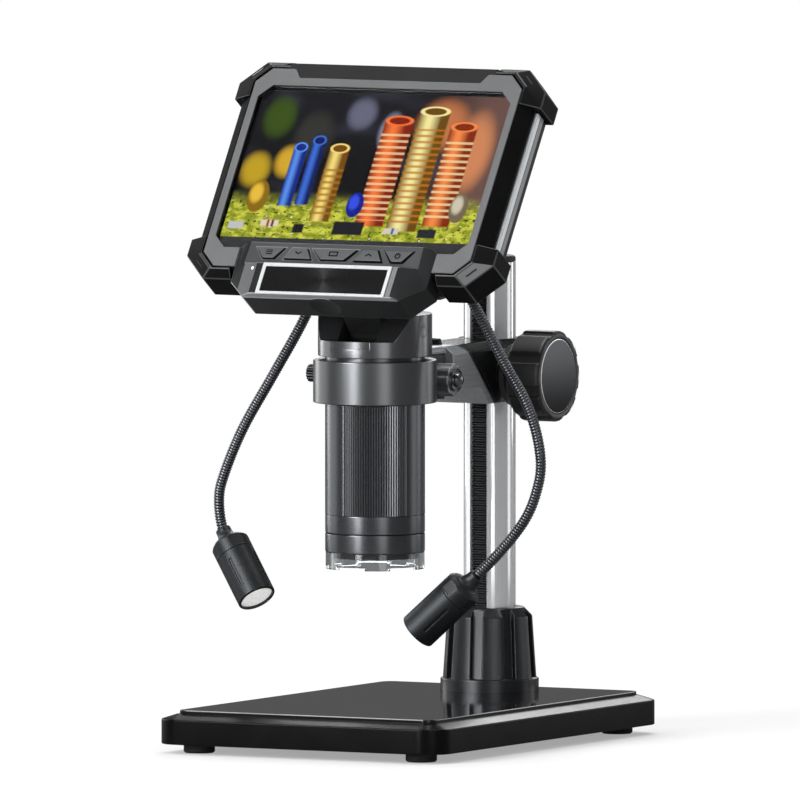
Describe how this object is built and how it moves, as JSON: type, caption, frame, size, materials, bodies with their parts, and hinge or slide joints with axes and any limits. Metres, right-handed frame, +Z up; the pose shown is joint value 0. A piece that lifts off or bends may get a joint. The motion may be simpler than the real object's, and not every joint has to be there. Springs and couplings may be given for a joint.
{
  "type": "digital microscope with display head",
  "caption": "Digital microscope: tilting display head on a barrel held by a ring clamp, raised by rack and pinion on a chromed column, with a flat base and gooseneck lamps.",
  "frame": {"origin": "on the optical axis at the top face of the base plate", "axes": "+Z up along the optical axis, display facing -Y, column at +Y, +X to the user's right"},
  "size_m": [0.1491, 0.184, 0.2602],
  "materials": {
    "base_casting": "satin",
    "top_plate": "gloss",
    "rubber_feet": "matte",
    "base_screws": "satin",
    "column_socket": "satin",
    "column": "polished",
    "rack": "satin",
    "column_cap": "satin",
    "carriage": "satin",
    "carriage_bushes": "satin",
    "joint_shim": "satin",
    "arm": "brushed",
    "arm_fasteners": "satin",
    "ring_clamp": "satin",
    "side_thumbscrew": "satin",
    "clamp_knob": "satin",
    "clamp_bolt": "polished",
    "pinion_shaft": "satin",
    "focus_knob": "satin",
    "focus_knob_cap": "satin",
    "barrel_tube": "satin",
    "focus_sleeve": "satin",
    "barrel_band": "satin",
    "hood_ring": "satin",
    "clear_hood": "clear",
    "led_ring": "matte",
    "ring_leds": "gloss",
    "sensor_board": "satin",
    "lens_cell": "satin",
    "objective_lens": "clear",
    "barrel_collar": "satin",
    "hinge_pin": "satin",
    "front_frame": "satin",
    "bezel": "satin",
    "cover_glass": "clear",
    "lcd_panel": "gloss",
    "rear_shell": "satin",
    "head_screws": "satin",
    "main_board": "satin",
    "battery_housing": "satin",
    "battery": "satin",
    "corner_bumpers": "satin",
    "side_rails": "satin",
    "console": "satin",
    "console_frame": "satin",
    "grain_panel": "satin",
    "menu_button": "satin",
    "down_button": "satin",
    "select_button": "satin",
    "up_button": "satin",
    "power_button": "satin",
    "neck_sockets": "satin",
    "left_neck_upper": "satin",
    "left_neck_lower": "satin",
    "left_lamp_shell": "satin",
    "left_lamp_optics": "gloss",
    "right_neck_upper": "satin",
    "right_neck_lower": "satin",
    "right_lamp_shell": "satin",
    "right_lamp_optics": "gloss"
  },
  "bodies": {
    "stand": {"base_casting": "base_casting", "top_plate": "top_plate", "rubber_feet": "rubber_feet", "base_screws": "base_screws", "column_socket": "column_socket", "column": "column", "rack": "rack", "column_cap": "column_cap"},
    "carriage": {"carriage": "carriage", "carriage_bushes": "carriage_bushes", "joint_shim": "joint_shim", "arm": "arm", "arm_fasteners": "arm_fasteners", "ring_clamp": "ring_clamp"},
    "focus_knob": {"pinion_shaft": "pinion_shaft", "focus_knob": "focus_knob", "focus_knob_cap": "focus_knob_cap"},
    "clamp_screw": {"clamp_knob": "clamp_knob", "clamp_bolt": "clamp_bolt"},
    "thumbscrew": {"side_thumbscrew": "side_thumbscrew"},
    "barrel": {"barrel_tube": "barrel_tube", "barrel_band": "barrel_band", "hood_ring": "hood_ring", "clear_hood": "clear_hood", "led_ring": "led_ring", "ring_leds": "ring_leds", "sensor_board": "sensor_board", "barrel_collar": "barrel_collar", "hinge_pin": "hinge_pin"},
    "sleeve": {"focus_sleeve": "focus_sleeve"},
    "lens": {"lens_cell": "lens_cell", "objective_lens": "objective_lens"},
    "head": {"front_frame": "front_frame", "bezel": "bezel", "cover_glass": "cover_glass", "lcd_panel": "lcd_panel", "rear_shell": "rear_shell", "head_screws": "head_screws", "main_board": "main_board", "battery_housing": "battery_housing", "battery": "battery", "corner_bumpers": "corner_bumpers", "side_rails": "side_rails", "console": "console", "console_frame": "console_frame", "grain_panel": "grain_panel", "neck_sockets": "neck_sockets"},
    "menu_key": {"menu_button": "menu_button"},
    "down_key": {"down_button": "down_button"},
    "select_key": {"select_button": "select_button"},
    "up_key": {"up_button": "up_button"},
    "power_key": {"power_button": "power_button"},
    "left_neck_top": {"left_neck_upper": "left_neck_upper"},
    "left_neck_end": {"left_neck_lower": "left_neck_lower"},
    "left_lamp": {"left_lamp_shell": "left_lamp_shell", "left_lamp_optics": "left_lamp_optics"},
    "right_neck_top": {"right_neck_upper": "right_neck_upper"},
    "right_neck_end": {"right_neck_lower": "right_neck_lower"},
    "right_lamp": {"right_lamp_shell": "right_lamp_shell", "right_lamp_optics": "right_lamp_optics"}
  },
  "joints": [
    {"name": "carriage_slide", "type": "slide", "parent": "stand", "child": "carriage", "axis": [0, 0, 1], "range_m": [-0.012, 0.026]},
    {"name": "focus_knob_turn", "type": "hinge", "parent": "carriage", "child": "focus_knob", "pos_m": [0, 0.0796, 0.1226], "axis": [1, 0, 0], "range_deg": [-252, 125]},
    {"name": "clamp_screw_turn", "type": "hinge", "parent": "carriage", "child": "clamp_screw", "pos_m": [0.013, 0.033, 0.1232], "axis": [1, 0, 0], "range_deg": [-90, 90]},
    {"name": "thumbscrew_turn", "type": "hinge", "parent": "carriage", "child": "thumbscrew", "pos_m": [-0.026, 0, 0.1265], "axis": [1, 0, 0], "range_deg": [-90, 90]},
    {"name": "barrel_swivel", "type": "hinge", "parent": "carriage", "child": "barrel", "pos_m": [0, 0, 0.125], "axis": [0, 0, 1], "range_deg": [-30, 30]},
    {"name": "sleeve_turn", "type": "hinge", "parent": "barrel", "child": "sleeve", "pos_m": [0, 0, 0.095], "axis": [0, 0, 1], "range_deg": [-60, 60]},
    {"name": "lens_slide", "type": "slide", "parent": "barrel", "child": "lens", "axis": [0, 0, 1], "range_m": [-0.0015, 0.0015]},
    {"name": "head_tilt", "type": "hinge", "parent": "barrel", "child": "head", "pos_m": [0, -0.0015, 0.1437], "axis": [1, 0, 0], "range_deg": [-20, 28]},
    {"name": "menu_press", "type": "slide", "parent": "head", "child": "menu_key", "axis": [0, 0.8329, -0.5534], "range_m": [0, 0.0006], "stiffness_N_per_m": 400},
    {"name": "down_press", "type": "slide", "parent": "head", "child": "down_key", "axis": [0, 0.8329, -0.5534], "range_m": [0, 0.0006], "stiffness_N_per_m": 400},
    {"name": "select_press", "type": "slide", "parent": "head", "child": "select_key", "axis": [0, 0.8329, -0.5534], "range_m": [0, 0.0006], "stiffness_N_per_m": 400},
    {"name": "up_press", "type": "slide", "parent": "head", "child": "up_key", "axis": [0, 0.8329, -0.5534], "range_m": [0, 0.0006], "stiffness_N_per_m": 400},
    {"name": "power_press", "type": "slide", "parent": "head", "child": "power_key", "axis": [0, 0.8329, -0.5534], "range_m": [0, 0.0006], "stiffness_N_per_m": 400},
    {"name": "left_neck_root", "type": "hinge", "parent": "head", "child": "left_neck_top", "pos_m": [-0.0245, 0.0125, 0.1725], "axis": [0, 1, 0], "range_deg": [-4, 10]},
    {"name": "left_neck_bend", "type": "hinge", "parent": "left_neck_top", "child": "left_neck_end", "pos_m": [-0.0645, 0.0135, 0.1035], "axis": [0, 1, 0], "range_deg": [-5, 12]},
    {"name": "left_lamp_bend", "type": "hinge", "parent": "left_neck_end", "child": "left_lamp", "pos_m": [-0.076, 0.018, 0.064], "axis": [0, 1, 0], "range_deg": [-12, 12]},
    {"name": "right_neck_root", "type": "hinge", "parent": "head", "child": "right_neck_top", "pos_m": [0.0245, 0.0125, 0.1725], "axis": [0, -1, 0], "range_deg": [-2, 10]},
    {"name": "right_neck_bend", "type": "hinge", "parent": "right_neck_top", "child": "right_neck_end", "pos_m": [0.0655, 0.011, 0.098], "axis": [0, -1, 0], "range_deg": [-2, 10]},
    {"name": "right_lamp_bend", "type": "hinge", "parent": "right_neck_end", "child": "right_lamp", "pos_m": [0.0415, 0.0055, 0.051], "axis": [0, -1, 0], "range_deg": [-8, 10]}
  ],
  "couplings": [
    {"joint": "focus_knob_turn", "follows": "carriage_slide", "rad_per_m": -166.67},
    {"joint": "lens_slide", "follows": "sleeve_turn", "m_per_rad": 0.00142}
  ]
}
